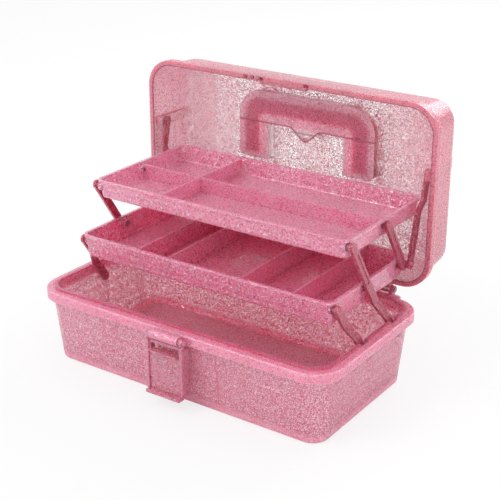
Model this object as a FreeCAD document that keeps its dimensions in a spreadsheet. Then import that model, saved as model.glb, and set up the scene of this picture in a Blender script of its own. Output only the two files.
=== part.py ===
# Fold-out craft storage box, shown open: a tub, a lid that stands up behind it on two
# hinges, and two trays that swing up and back on strap arms as the lid opens.
# Millimetres. The origin is the centre of the tub's underside, +X runs to the right as
# seen from the latch side, +Y to the back (hinge side) and +Z up.
import FreeCAD, Part
import math
import os
import re
import Sketcher
from FreeCAD import Placement, Rotation, Vector

os.makedirs("parts", exist_ok=True)
doc = FreeCAD.newDocument("CraftBox")

# Driving dimensions
DIMENSIONS = (
    # tub
    ("tub_length", 330), ("tub_width", 180), ("tub_height", 75), ("rim_corner", 29),
    ("rim_band", 9), ("rim_reach", 5), ("rim_face", 11), ("ledge", 2.7), ("rim_round", 1.5),
    ("tub_draft", 8), ("foot_round", 3),
    ("tub_wall", 2.5), ("tub_floor", 3), ("floor_round", 4), ("lip_width", 3.5),
    ("lip_height", 2), ("panel_width", 94), ("panel_proud", 0.8), ("panel_start", 7),
    ("rib_width", 7), ("rib_depth", 2), ("rib_gap", 5), ("notch_width", 12),
    ("notch_shift", 10.4),
    # strap arms
    ("front_pivot", -2), ("rear_pivot", 52.5), ("pivot_drop", 16), ("arm_lean", 33),
    ("lower_reach", 65), ("upper_reach", 60), ("tray_pivot_gap", 63), ("strap_width", 8),
    ("strap_thickness", 3.2), ("eye_radius", 4.4), ("arm_gap", 0.8), ("arm_foot_gap", 0.5), ("jog_start", 25),
    ("jog_end", 45), ("jog_step", 7.5), ("tub_pin", 3), ("tub_pin_length", 4.5),
    ("tub_boss", 5.6), ("tray_pin", 2.5), ("pin_fit", 0.05), ("run_gap", 0.3),
    ("arm_boss", 3.4), ("pocket_depth", 4.5), ("pocket_wall", 2.2), ("pocket_ring", 1.2),
    ("groove_width", 3.4), ("groove_depth", 0.8), ("groove_margin", 9),
    # trays
    ("tray_wall", 2), ("tray_floor", 2), ("tray_corner", 9), ("tray_round", 2.5),
    ("tray_foot_round", 2),
    ("tray_draft", 3), ("tray_rim", 2.5), ("tray_rim_reach", 1), ("lower_width", 139),
    ("lower_height", 23), ("lower_rise", 8), ("lower_lead", 8), ("upper_width", 140.5),
    ("upper_height", 18.5), ("upper_rise", 7), ("upper_lead", 6), ("recess_width", 16),
    ("recess_depth", 1.6), ("recess_drop", 4), ("divider_thickness", 1.8),
    ("divider_drop", 1.5), ("divider_rib", 1.5), ("divider_fit", 0.3),
    ("first_divider", -74), ("second_divider", -38), ("third_divider", 44),
    ("fourth_divider", 100), ("cross_wall", -64.5), ("long_wall", -2.25),
    # lid and hinges
    ("lid_gap", 0.3), ("lid_height", 56), ("lid_band", 8), ("lid_rim_face", 5),
    ("lid_step", 3.5), ("lid_taper", 4), ("lid_wall", 2.5), ("lid_round", 11),
    ("lid_angle", 90), ("hinge_reach", 7.2), ("hinge_rise", 3.8), ("hinge_offset", 119),
    ("knuckle_width", 12), ("knuckle_radius", 4), ("ear_thickness", 3), ("hinge_pin", 1.5),
    ("head_height", 1), ("head_reach", 1), ("end_play", 0.4), ("bracket_width", 9), ("bracket_foot", 3),
    # links between the lid and the lower tray
    ("link_pin", 2), ("link_play", 1.3), ("link_ring", 2), ("link_step", 3.4),
    ("link_jog_start", 50), ("link_jog_end", 60), ("link_pin_length", 4),
    ("link_foot_back", 6.7), ("link_foot_rise", 1.3), ("link_top_ahead", 119.9),
    ("link_top_rise", 8.45),
    # carry handle and its recess in the lid
    ("handle_length", 148), ("handle_reach", 57), ("handle_bar", 16), ("handle_leg", 18),
    ("handle_thickness", 10), ("handle_corner", 21), ("handle_inner", 8),
    ("handle_round", 2.5), ("handle_pivot", 0), ("handle_gap", 3), ("handle_clear", 1),
    ("handle_pin", 2.5), ("grip_gap", 8), ("scoop_width", 28), ("scoop_depth", 5),
    ("scoop_corner", 2), ("socket_depth", 4.3), ("socket_wall", 2), ("island_corner", 5),
    ("recess_corner", 4),
    # front latch
    ("latch_width", 41), ("latch_length", 58), ("latch_thickness", 3), ("latch_ahead", 4.5),
    ("latch_below", 5), ("latch_corner", 3), ("knuckle_length", 31), ("lug_radius", 4.5),
    ("latch_pin_radius", 1.5), ("latch_eye", 3.2), ("latch_bar", 3.1), ("window_height", 6),
    ("window_side", 4.5), ("latch_lip", 5), ("lip_thickness", 3), ("latch_rail", 3),
    ("rail_depth", 1.2), ("hook_width", 31), ("hook_reach", 4.4), ("hook_height", 3.4),
    ("hook_nose", 1.2), ("flange_depth", 6), ("flange_wall", 2.2), ("flange_drop", 7),
    # slots and thickening in the front of the lid's rim
    ("slot_depth", 5), ("slot_margin", 0.7), ("thick_rim_width", 52), ("thick_rim", 2),
)
# where the slots in the lid's rim start along X, and how long they are
RIM_SLOTS = ((-46, 5), (-38, 5), (-30, 7.5), (22.5, 6.5))
NEAR = 0.01
sheet = doc.addObject("Spreadsheet::Sheet", "Sizes")
for row, (alias, value) in enumerate(DIMENSIONS, start=1):
    sheet.set(f"A{row}", alias)
    sheet.set(f"B{row}", str(value))
    sheet.setAlias(f"B{row}", alias)
doc.recompute()
ALIASES = {alias for alias, value in DIMENSIONS}

# Places that several pieces share, as formulas of the driving dimensions
RIM_X = "(tub_length / 2)"
RIM_Y = "(tub_width / 2)"
WALL_X = f"({RIM_X} - rim_reach)"
WALL_Y = f"({RIM_Y} - rim_reach)"
FOOT_X = f"({WALL_X} - tub_draft)"
FOOT_Y = f"({WALL_Y} - tub_draft)"
WALL_CORNER = "(rim_corner - rim_reach)"
MOUTH_X = f"({RIM_X} - rim_face)"
MOUTH_Y = f"({RIM_Y} - rim_face)"
LEDGE_Z = "(tub_height - ledge)"
PIVOT_Z = "(tub_height - pivot_drop)"
LOWER_Z = f"({PIVOT_Z} + lower_reach * cos(arm_lean * 1 deg))"
LOWER_FRONT_Y = "(front_pivot - lower_reach * sin(arm_lean * 1 deg))"
LOWER_MID_Y = "(rear_pivot - lower_reach * sin(arm_lean * 1 deg))"
LOWER_REAR_Y = f"({LOWER_MID_Y} + tray_pivot_gap)"
UPPER_Z = f"({LOWER_Z} + upper_reach * cos(arm_lean * 1 deg))"
UPPER_FRONT_Y = f"({LOWER_MID_Y} - upper_reach * sin(arm_lean * 1 deg))"
UPPER_REAR_Y = f"({UPPER_FRONT_Y} + tray_pivot_gap)"
HINGE_Y = f"({RIM_Y} + hinge_reach)"
HINGE_Z = "(tub_height + hinge_rise)"
LID_Z = "(tub_height + lid_gap)"
LID_TOP_Z = f"({LID_Z} + lid_height)"
PLATE_Z = f"({LID_TOP_Z} - lid_wall)"
ARM_FOOT_X = f"({MOUTH_X} - arm_foot_gap - strap_thickness)"
ARM_X = f"({ARM_FOOT_X} - jog_step)"
TRAY_X = f"({ARM_X} - arm_gap)"
POCKET_X = f"({TRAY_X} - pocket_depth)"
LINK_X = f"({ARM_X} + strap_thickness + 2 * run_gap)"
LINK_TOP_X = f"({LINK_X} + link_step)"
BRACKET_X = f"({LINK_TOP_X} + strap_thickness + run_gap)"
LINK_FOOT_Y = f"({LOWER_REAR_Y} + link_foot_back)"
LINK_FOOT_Z = f"({LOWER_Z} + link_foot_rise)"
LATCH_Y = f"(-{RIM_Y} - latch_ahead)"
LATCH_Z = "(tub_height - latch_below)"
HANDLE_Z = f"({LID_TOP_Z} - handle_clear - handle_thickness / 2)"
RECESS_Z = f"({LID_TOP_Z} - handle_thickness - 2 * handle_clear)"
RECESS_X = "(handle_length / 2 + handle_gap)"
RECESS_FRONT_Y = "(handle_pivot - handle_reach - handle_gap)"
RECESS_BACK_Y = "(handle_pivot + handle_thickness / 2 + handle_clear)"
ISLAND_X = "(handle_length / 2 - handle_leg - grip_gap - handle_clear)"
ISLAND_Y = "(handle_pivot - handle_reach + handle_bar + grip_gap)"


def bound(formula):
    """Name the sheet in a formula that is written with the aliases alone."""
    def full_name(word):
        return f"Sizes.{word[0]}" if word[0] in ALIASES else word[0]

    return re.sub(r"[a-z_]+", full_name, formula)


def number(formula):
    """The present value of a formula."""
    value = sheet.evalExpression(bound(formula))
    return float(getattr(value, "Value", value))


def bind(item, **formulas):
    """Bind properties to formulas; a double underscore stands for a dot in the path."""
    for path, formula in formulas.items():
        item.setExpression(path.replace("__", "."), bound(formula))


def new_body(name):
    """An empty body whose label is the piece's name."""
    body = doc.addObject("PartDesign::Body", name)
    body.Label = name
    return body


def sketch_on(body, plane, height="0"):
    """A sketch parallel to one of the body's own base planes, a given height above it."""
    sketch = body.newObject("Sketcher::SketchObject", "Outline")
    base = next(item for item in body.Origin.OriginFeatures if item.Role == plane)
    sketch.AttachmentSupport = [(base, "")]
    sketch.MapMode = "FlatFace"
    bind(sketch, AttachmentOffset__Base__z=height)
    return sketch


def fix_end(sketch, line, end, place):
    """Hold one end of a line at a pair of formulas."""
    for kind, formula in zip(("DistanceX", "DistanceY"), place):
        index = sketch.addConstraint(Sketcher.Constraint(kind, line, end, number(formula)))
        sketch.setExpression(f"Constraints[{index}]", bound(formula))


def direction(here, there):
    """The sign of the step along each axis from one corner to the next."""
    steps = [number(there[axis]) - number(here[axis]) for axis in (0, 1)]
    return ["" if abs(step) < NEAR else ("+" if step > 0 else "-") for step in steps]


def moved(place, signs, radius):
    """A place moved by a corner radius along the signed axes."""
    return [f"{formula} {sign} ({radius})" if sign else formula for formula, sign in zip(place, signs)]


def draw(sketch, corners):
    """Close an outline through corners (across, along, radius); a radius of None is sharp."""
    ends = []
    for index, (across, along, radius) in enumerate(corners):
        place = [across, along]
        if radius is None:
            ends.append((place, place, None))
            continue
        back = direction(place, corners[index - 1])
        ahead = direction(place, corners[(index + 1) % len(corners)])
        centre = moved(moved(place, back, radius), ahead, radius)
        ends.append((moved(place, back, radius), moved(place, ahead, radius), centre))
    lines = []
    for index, (arrive, leave, centre) in enumerate(ends):
        next_arrive = ends[(index + 1) % len(ends)][0]
        points = [Vector(number(place[0]), number(place[1]), 0) for place in (leave, next_arrive)]
        line = sketch.addGeometry(Part.LineSegment(*points))
        fix_end(sketch, line, 1, leave)
        fix_end(sketch, line, 2, next_arrive)
        lines.append(line)
    for index, (arrive, leave, centre) in enumerate(ends):
        if centre is None:
            continue
        middle, first, last = (Vector(number(place[0]), number(place[1]), 0)
                               for place in (centre, arrive, leave))
        spokes = [first - middle, last - middle]
        turns_left = spokes[0].cross(spokes[1]).z > 0
        if not turns_left:
            spokes.reverse()
        circle = Part.Circle(middle, Vector(0, 0, 1), spokes[0].Length)
        angles = [math.atan2(spoke.y, spoke.x) for spoke in spokes]
        arc = sketch.addGeometry(Part.ArcOfCircle(circle, *angles))
        near, far = (1, 2) if turns_left else (2, 1)
        sketch.addConstraint(Sketcher.Constraint("Coincident", arc, near, lines[index - 1], 2))
        sketch.addConstraint(Sketcher.Constraint("Coincident", arc, far, lines[index], 1))
        size = sketch.addConstraint(Sketcher.Constraint("Radius", arc, spokes[0].Length))
        sketch.setExpression(f"Constraints[{size}]", bound(corners[index][2]))
    return sketch


def rounded(body, height, half_x, y_low, y_high, radius):
    """A rounded rectangle, symmetric about the middle of the box, at a given height."""
    corners = ((f"-({half_x})", y_low, radius), (half_x, y_low, radius),
               (half_x, y_high, radius), (f"-({half_x})", y_high, radius))
    return draw(sketch_on(body, "XY_Plane", height), corners)


def add(body, kind, **formulas):
    """A new feature of a body, with properties bound to formulas."""
    feature = body.newObject(f"PartDesign::{kind}", kind)
    bind(feature, **formulas)
    return feature


def pad(body, sketch, length, middle=False):
    """Pad a sketch upwards, or half to each side."""
    feature = add(body, "Pad", Length=length)
    feature.Profile = sketch
    feature.SideType = "Symmetric" if middle else "One side"


def pocket(body, sketch, length, upwards=False):
    """Cut a sketch downwards or upwards."""
    feature = add(body, "Pocket", Length=length)
    feature.Profile = sketch
    feature.Reversed = upwards


def loft(body, low, high, cut=False):
    """Join two outlines with straight sides, as solid or as a cut."""
    feature = add(body, "SubtractiveLoft" if cut else "AdditiveLoft")
    feature.Profile = low
    feature.Sections = [high]
    feature.Ruled = True


def block(body, x, y, z, cut=False):
    """A box between pairs of formulas on each axis, as solid or as a cut."""
    add(body, "SubtractiveBox" if cut else "AdditiveBox",
        Length=f"{x[1]} - ({x[0]})", Width=f"{y[1]} - ({y[0]})", Height=f"{z[1]} - ({z[0]})",
        Placement__Base__x=x[0], Placement__Base__y=y[0], Placement__Base__z=z[0])


def rod(body, x, y, z, radius, cut=False):
    """A cylinder along X between a pair of formulas, as solid or as a cut."""
    feature = add(body, "SubtractiveCylinder" if cut else "AdditiveCylinder",
                  Radius=radius, Height=f"{x[1]} - ({x[0]})",
                  Placement__Base__x=x[0], Placement__Base__y=y, Placement__Base__z=z)
    feature.Placement = Placement(feature.Placement.Base, Rotation(Vector(0, 1, 0), 90))


def opposite(pair):
    """The mirror image, about the middle plane, of a pair of formulas along X."""
    return (f"-({pair[1]})", f"-({pair[0]})")


def sides(pair):
    """A pair of formulas along X and its mirror image."""
    return (pair, opposite(pair))


def round_edges(body, radius, chosen):
    """Fillet the edges of the piece so far that a test picks out."""
    doc.recompute()
    base = body.Tip
    names = [f"Edge{index}" for index, edge in enumerate(base.Shape.Edges, start=1) if chosen(edge)]
    feature = add(body, "Fillet", Radius=radius)
    feature.Base = (base, names)


def flat_at(height):
    """A test for edges that lie wholly at one height."""
    level = number(height)
    return lambda edge: max(abs(edge.BoundBox.ZMin - level), abs(edge.BoundBox.ZMax - level)) < NEAR


# Base tub: a drafted wall on a rounded foot, with a rim band, an inner lip and a ledge
def tub_inside(height):
    """The inner face of the tub's end wall at a height."""
    return f"({FOOT_X} - tub_wall + tub_draft * ({height} - tub_floor) / ({LEDGE_Z} - tub_floor))"


def tub_front(height):
    """The outer face of the tub's front wall at a height."""
    return f"(-{FOOT_Y} - tub_draft * ({height}) / tub_height)"


def make_tub():
    body = new_body("base_tub")
    foot = rounded(body, "0", FOOT_X, f"-{FOOT_Y}", FOOT_Y, f"{WALL_CORNER} - tub_draft")
    wall_top = rounded(body, "tub_height", WALL_X, f"-{WALL_Y}", WALL_Y, WALL_CORNER)
    loft(body, foot, wall_top)
    band = rounded(body, "tub_height - rim_band", RIM_X, f"-{RIM_Y}", RIM_Y, "rim_corner")
    pad(body, band, "rim_band")
    round_edges(body, "foot_round", flat_at("0"))
    round_edges(body, "rim_round", flat_at("tub_height"))

    # raised lip, cavity and mouth
    lip = rounded(body, "tub_height", f"{MOUTH_X} + lip_width", f"-{MOUTH_Y} - lip_width",
                  f"{MOUTH_Y} + lip_width", "rim_corner - rim_face + lip_width")
    pad(body, lip, "lip_height")
    low = rounded(body, "tub_floor", f"{FOOT_X} - tub_wall", f"-{FOOT_Y} + tub_wall",
                  f"{FOOT_Y} - tub_wall", f"{WALL_CORNER} - tub_draft - tub_wall")
    high = rounded(body, LEDGE_Z, f"{WALL_X} - tub_wall", f"-{WALL_Y} + tub_wall",
                   f"{WALL_Y} - tub_wall", f"{WALL_CORNER} - tub_wall")
    loft(body, low, high, cut=True)
    mouth = rounded(body, "tub_height + lip_height", MOUTH_X, f"-{MOUTH_Y}", MOUTH_Y,
                    "rim_corner - rim_face")
    pocket(body, mouth, "lip_height + ledge + tub_wall")
    round_edges(body, "floor_round", flat_at("tub_floor"))

    # shallow panel behind the latch, from near the foot up into the rim band
    panel = sketch_on(body, "YZ_Plane")
    panel_top = "tub_height - rim_band / 2"
    draw(panel, ((f"{tub_front('panel_start')} - panel_proud", "panel_start", None),
                 (f"{tub_front('panel_start')} + tub_wall / 2", "panel_start", None),
                 (f"{tub_front(panel_top)} + tub_wall / 2", panel_top, None),
                 (f"{tub_front(panel_top)} - panel_proud", panel_top, None)))
    pad(body, panel, "panel_width", middle=True)

    # lug on the front of the rim band that carries the latch
    lug = ("-knuckle_length / 2", "knuckle_length / 2")
    rod(body, lug, LATCH_Y, LATCH_Z, "lug_radius")
    block(body, lug, (LATCH_Y, f"-{RIM_Y} + rim_reach / 2"),
          (f"{LATCH_Z} - lug_radius", f"{LATCH_Z} + lug_radius"))
    rod(body, ("-knuckle_length", "knuckle_length"), LATCH_Y, LATCH_Z,
        "latch_pin_radius + pin_fit", cut=True)

    # pivot bosses, ribs under them and notches in the mouth beside the arms
    boss = (f"{ARM_FOOT_X} + strap_thickness + run_gap", f"{tub_inside(PIVOT_Z)} + tub_wall / 2")
    hole = (ARM_FOOT_X, RIM_X)
    notch = (f"{MOUTH_X} - lip_width", f"{MOUTH_X} + lip_width")
    rib_top = f"({PIVOT_Z} - rib_gap)"
    for pivot in ("front_pivot", "rear_pivot"):
        middle = f"{pivot} - notch_shift"
        for pair in sides(boss):
            rod(body, pair, pivot, PIVOT_Z, "tub_boss")
        for pair in sides(hole):
            rod(body, pair, pivot, PIVOT_Z, "tub_pin + pin_fit", cut=True)
        for pair in sides(notch):
            block(body, pair, (f"{middle} - notch_width / 2", f"{middle} + notch_width / 2"),
                  ("tub_height - rim_band", "tub_height + 2 * lip_height"), cut=True)
        for sign in ("", "-"):
            rib = sketch_on(body, "XZ_Plane", f"-({pivot})")
            draw(rib, ((f"{sign}({tub_inside('tub_floor')} - rib_depth)", "tub_floor", None),
                       (f"{sign}({tub_inside('tub_floor')} + tub_wall / 2)", "tub_floor", None),
                       (f"{sign}({tub_inside(rib_top)} + tub_wall / 2)", rib_top, None),
                       (f"{sign}({tub_inside(rib_top)} - rib_depth)", rib_top, None)))
            pad(body, rib, "rib_width", middle=True)

    # hinge ears behind the rim band, slotted for the lid's knuckles
    half_ears = "(knuckle_width / 2 + run_gap + ear_thickness)"
    half_slot = "(knuckle_width / 2 + run_gap)"
    diagonal = "knuckle_radius * sqrt(0.5)"
    root = f"{RIM_Y} - rim_reach / 2"
    for pair in sides((f"hinge_offset - {half_ears}", f"hinge_offset + {half_ears}")):
        ear = sketch_on(body, "YZ_Plane", pair[0])
        draw(ear, ((root, "tub_height - rim_band", None),
                   (f"{HINGE_Y} - knuckle_radius / 2", "tub_height - rim_band", None),
                   (f"{HINGE_Y} + {diagonal}", f"{HINGE_Z} - {diagonal}", None),
                   (f"{HINGE_Y} - {diagonal}", f"{HINGE_Z} + {diagonal}", None),
                   (RIM_Y, "tub_height - lid_gap", None),
                   (root, "tub_height - lid_gap", None)))
        pad(body, ear, f"2 * {half_ears}")
        rod(body, pair, HINGE_Y, HINGE_Z, "knuckle_radius")
        rod(body, pair, HINGE_Y, HINGE_Z, "hinge_pin + pin_fit", cut=True)
    for pair in sides((f"hinge_offset - {half_slot}", f"hinge_offset + {half_slot}")):
        block(body, pair, (RIM_Y, f"{HINGE_Y} + 2 * knuckle_radius"),
              ("tub_height - rim_band - run_gap", f"{HINGE_Z} + 2 * knuckle_radius"), cut=True)
    return body


# Trays: drafted shells with a rim, sockets for the arm pins in both end walls
def tray_places(size, pivot_z, front_pivot_y):
    """The top, underside, front and back of a tray whose sizes carry the given prefix."""
    top = f"({pivot_z} + {size}_rise)"
    front = f"({front_pivot_y} - {size}_lead)"
    return top, f"({top} - {size}_height)", front, f"({front} + {size}_width)"


def tray_outline(body, height, front, back, inset):
    """The tray's outline drawn in by an inset all round."""
    return rounded(body, height, f"{TRAY_X} - ({inset})", f"{front} + {inset}",
                   f"{back} - ({inset})", f"tray_corner - ({inset})")


def make_tray(name, size, pivot_z, pivots):
    top, base, front, back = tray_places(size, pivot_z, pivots[0])
    height = f"{size}_height"
    body = new_body(name)
    low = tray_outline(body, base, front, back, "(tray_rim_reach + tray_draft)")
    high = tray_outline(body, top, front, back, "tray_rim_reach")
    loft(body, low, high)
    pad(body, tray_outline(body, f"{top} - tray_rim", front, back, "0"), "tray_rim")
    low = tray_outline(body, f"{base} + tray_floor", front, back,
                       "(tray_rim_reach + tray_draft + tray_wall)")
    high = tray_outline(body, top, front, back, "(tray_rim_reach + tray_wall)")
    loft(body, low, high, cut=True)
    round_edges(body, "tray_foot_round", flat_at(base))
    round_edges(body, "tray_round", flat_at(f"{base} + tray_floor"))

    def end_wall(z, depth):
        """A place a given depth behind the outer face of the right end wall."""
        return f"{TRAY_X} - tray_rim_reach - tray_draft * ({top} - ({z})) / {height} - ({depth})"

    # shallow recesses beside every pivot but the front one, backed on the inside
    recess_top = f"({top} - recess_drop)"
    for pivot in pivots[1:]:
        for sign in ("", "-"):
            for cut, low_z, near, far in (
                    (False, f"({base} + tray_floor / 2)", "tray_wall / 2", "tray_wall + recess_depth"),
                    (True, f"({base} - tray_rim)", "-tray_wall", "recess_depth")):
                outline = sketch_on(body, "XZ_Plane", f"-({pivot})")
                draw(outline, ((f"{sign}({end_wall(low_z, far)})", low_z, None),
                               (f"{sign}({end_wall(low_z, near)})", low_z, None),
                               (f"{sign}({end_wall(recess_top, near)})", recess_top, None),
                               (f"{sign}({end_wall(recess_top, far)})", recess_top, None)))
                feature = add(body, "Pocket" if cut else "Pad",
                              Length="recess_width" if cut else "recess_width + 2 * tray_wall")
                feature.Profile = outline
                feature.SideType = "Symmetric"
    return body


def pivot_wall(size):
    """The middle of the right end wall's thickness at the height of the pivots."""
    return f"{TRAY_X} - tray_rim_reach - tray_draft * {size}_rise / {size}_height - tray_wall / 2"


def add_sockets(body, size, pivot_z, pivots):
    """Sockets for the arms' bosses and pins in both end walls."""
    for pivot in pivots:
        for pair in sides((f"{POCKET_X} - pocket_wall", pivot_wall(size))):
            rod(body, pair, pivot, pivot_z, "arm_boss + run_gap + pocket_ring")
        for pair in sides((POCKET_X, f"{TRAY_X} + tray_wall")):
            rod(body, pair, pivot, pivot_z, "arm_boss + run_gap", cut=True)
        for pair in sides((f"{POCKET_X} - 2 * pocket_wall", f"{POCKET_X} + pocket_wall")):
            rod(body, pair, pivot, pivot_z, "tray_pin + pin_fit", cut=True)


def slot_rib(body, size, pivot_z, front_pivot_y, place):
    """One pair of ribs, on the front and back walls, starting at a place along X."""
    top, base, front, back = tray_places(size, pivot_z, front_pivot_y)
    low, high = f"({base} + tray_floor / 2)", f"({top} - tray_rim - divider_drop)"
    outline = sketch_on(body, "YZ_Plane", place)
    for edge, sign in ((front, "+"), (back, "-")):
        faces = []
        for z in (low, high):
            inside = f"(tray_rim_reach + tray_wall + tray_draft * ({top} - {z}) / {size}_height)"
            faces.append((f"{edge} {sign} ({inside} - tray_wall / 2)", z, None))
            faces.append((f"{edge} {sign} ({inside} + divider_rib)", z, None))
        draw(outline, (faces[0], faces[1], faces[3], faces[2]))
    pad(body, outline, "divider_rib")


def cross_plate(body, size, pivot_z, front_pivot_y, place, low_z, margin, corner=None):
    """A plate across a tray, square to X, with a margin inside the outer face of its walls."""
    top, base, front, back = tray_places(size, pivot_z, front_pivot_y)
    high_z = f"({top} - divider_drop)"

    def end(edge, z, inset="0"):
        depth = f"(tray_rim_reach + tray_draft * ({top} - {z}) / {size}_height + {margin} + {inset})"
        return (f"{edge} {'+' if edge == front else '-'} {depth}", z, None)

    corners = [end(front, low_z), end(back, low_z), end(back, high_z), end(front, high_z)]
    if corner:
        bevel_z = f"({low_z} + {corner})"
        corners[:2] = [end(front, bevel_z), end(front, low_z, corner),
                       end(back, low_z, corner), end(back, bevel_z)]
    outline = sketch_on(body, "YZ_Plane", place)
    draw(outline, corners)
    pad(body, outline, "divider_thickness", middle=True)


LOWER_PIVOTS = (LOWER_FRONT_Y, LOWER_MID_Y, LOWER_REAR_Y)
UPPER_PIVOTS = (UPPER_FRONT_Y, UPPER_REAR_Y)
DIVIDERS = ("first_divider", "second_divider", "third_divider", "fourth_divider")


def make_lower_tray():
    body = make_tray("lower_tray", "lower", LOWER_Z, LOWER_PIVOTS)
    half_slot = "(divider_thickness / 2 + divider_fit)"
    for divider in DIVIDERS:
        for place in (f"{divider} - {half_slot} - divider_rib", f"{divider} + {half_slot}"):
            slot_rib(body, "lower", LOWER_Z, LOWER_FRONT_Y, place)
    add_sockets(body, "lower", LOWER_Z, LOWER_PIVOTS)

    # fixed pins for the links to the lid
    for pair in sides((pivot_wall("lower"), f"{LINK_X} + strap_thickness + run_gap")):
        rod(body, pair, LINK_FOOT_Y, LINK_FOOT_Z, "link_pin")
    return body


def make_divider(number_in_row, place):
    body = new_body(f"lower_tray_divider_{number_in_row}")
    base = tray_places("lower", LOWER_Z, LOWER_FRONT_Y)[1]
    cross_plate(body, "lower", LOWER_Z, LOWER_FRONT_Y, place, f"({base} + tray_floor)",
                "(tray_wall + divider_fit)", "tray_round")
    return body


def make_upper_tray():
    body = make_tray("upper_tray", "upper", UPPER_Z, UPPER_PIVOTS)
    top, base, front, back = tray_places("upper", UPPER_Z, UPPER_FRONT_Y)
    low_z = f"({base} + tray_floor / 2)"
    high_z = f"({top} - divider_drop)"
    cross_plate(body, "upper", UPPER_Z, UPPER_FRONT_Y, "cross_wall", low_z, "tray_wall / 2")

    # lengthwise wall
    outline = sketch_on(body, "XZ_Plane", f"-(({front} + {back}) / 2 + long_wall)")
    low, high = (f"({TRAY_X} - tray_rim_reach - tray_wall / 2"
                 f" - tray_draft * ({top} - {z}) / upper_height)" for z in (low_z, high_z))
    draw(outline, ((f"-{low}", low_z, None), (low, low_z, None),
                   (high, high_z, None), (f"-{high}", high_z, None)))
    pad(body, outline, "divider_thickness", middle=True)
    add_sockets(body, "upper", UPPER_Z, UPPER_PIVOTS)
    return body


# Strap arms, drawn upright on their lower pivot and then leaned over
def strap(body, length, foot_x, top_x, jog=None):
    """A flat strap along Z whose inner face runs from one place along X to another."""
    inner = [(foot_x, "0")] + [(x, z) for x, z in zip((foot_x, top_x), jog or ())] + [(top_x, length)]
    outer = [(f"{x} + strap_thickness", z) for x, z in reversed(inner)]
    outline = sketch_on(body, "XZ_Plane")
    draw(outline, [(x, z, None) for x, z in inner + outer])
    pad(body, outline, "strap_width", middle=True)


def disc(body, inner_x, z, radius, cut=False):
    """A round end or hole through the strap."""
    extra = "run_gap" if cut else "0"
    rod(body, (f"{inner_x} - {extra}", f"{inner_x} + strap_thickness + {extra}"), "0", z, radius, cut)


def groove(body, inner_x, low, high):
    """A shallow groove down the outer face of a strap."""
    block(body, (f"{inner_x} + strap_thickness - groove_depth", f"{inner_x} + 2 * strap_thickness"),
          ("-groove_width / 2", "groove_width / 2"),
          (f"{low} + groove_margin", f"{high} - groove_margin"), cut=True)


def tray_pivot(body, z):
    """The eye, boss and pin that turn in a tray's socket."""
    disc(body, ARM_X, z, "eye_radius")
    rod(body, (f"{POCKET_X} + run_gap", f"{ARM_X} + run_gap"), "0", z, "arm_boss")
    rod(body, (f"{POCKET_X} - pocket_wall", ARM_X), "0", z, "tray_pin")


def tub_pivot(body):
    """The eye and pin that turn in the tub's wall."""
    disc(body, ARM_FOOT_X, "0", "eye_radius")
    outer = f"{ARM_FOOT_X} + strap_thickness"
    rod(body, (ARM_FOOT_X, f"{outer} + tub_pin_length"), "0", "0", "tub_pin")


def lean(body, y, z, axis_x, angle):
    """Stand a piece on a pivot and turn it about an axis along X."""
    body.Placement = Placement(Vector(), Rotation(Vector(axis_x, 0, 0), number(angle)))
    bind(body, Placement__Base__y=y, Placement__Base__z=z, Placement__Rotation__Angle=angle)


def make_long_arm():
    body = new_body("long_arm_right")
    length = "(lower_reach + upper_reach)"
    strap(body, length, ARM_FOOT_X, ARM_X, ("jog_start", "jog_end"))
    tub_pivot(body)
    for z in ("lower_reach", length):
        tray_pivot(body, z)
    groove(body, ARM_X, "lower_reach", length)
    lean(body, "rear_pivot", PIVOT_Z, 1, "arm_lean")
    return body


def make_front_arm():
    body = new_body("front_arm_right")
    strap(body, "lower_reach", ARM_FOOT_X, ARM_X, ("jog_start", "jog_end"))
    tub_pivot(body)
    tray_pivot(body, "lower_reach")
    lean(body, "front_pivot", PIVOT_Z, 1, "arm_lean")
    return body


def make_rear_arm():
    body = new_body("rear_arm_right")
    strap(body, "upper_reach", ARM_X, ARM_X)
    for z in ("0", "upper_reach"):
        tray_pivot(body, z)
    groove(body, ARM_X, "0", "upper_reach")
    lean(body, LOWER_REAR_Y, LOWER_Z, 1, "arm_lean")
    return body


# Links from the lower tray up to the lid
LINK_TOP_CLOSED = (f"({HINGE_Y} - link_top_ahead)", f"({HINGE_Z} + link_top_rise)")
LID_COS = "cos(lid_angle * 1 deg)"
LID_SIN = "sin(lid_angle * 1 deg)"
LINK_TOP_Y = f"({HINGE_Y} - link_top_ahead * {LID_COS} + link_top_rise * {LID_SIN})"
LINK_TOP_Z = f"({HINGE_Z} + link_top_ahead * {LID_SIN} + link_top_rise * {LID_COS})"
LINK_RISE = f"({LINK_TOP_Z} - {LINK_FOOT_Z})"
LINK_RUN = f"({LINK_TOP_Y} - {LINK_FOOT_Y})"
LINK_LENGTH = f"sqrt({LINK_RISE} ^ 2 + {LINK_RUN} ^ 2)"


def make_lid_link():
    body = new_body("lid_link_right")
    strap(body, LINK_LENGTH, LINK_X, LINK_TOP_X, ("link_jog_start", "link_jog_end"))
    disc(body, LINK_X, "0", "link_pin + link_play + link_ring")
    disc(body, LINK_X, "0", "link_pin + link_play", cut=True)
    disc(body, LINK_TOP_X, LINK_LENGTH, "eye_radius")
    outer = f"{LINK_TOP_X} + strap_thickness"
    rod(body, (LINK_TOP_X, f"{outer} + link_pin_length"), "0", LINK_LENGTH, "link_pin")
    groove(body, LINK_X, "0", "link_jog_start")
    lean(body, LINK_FOOT_Y, LINK_FOOT_Z, -1, f"atan2({LINK_RUN}; {LINK_RISE})")
    return body


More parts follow.
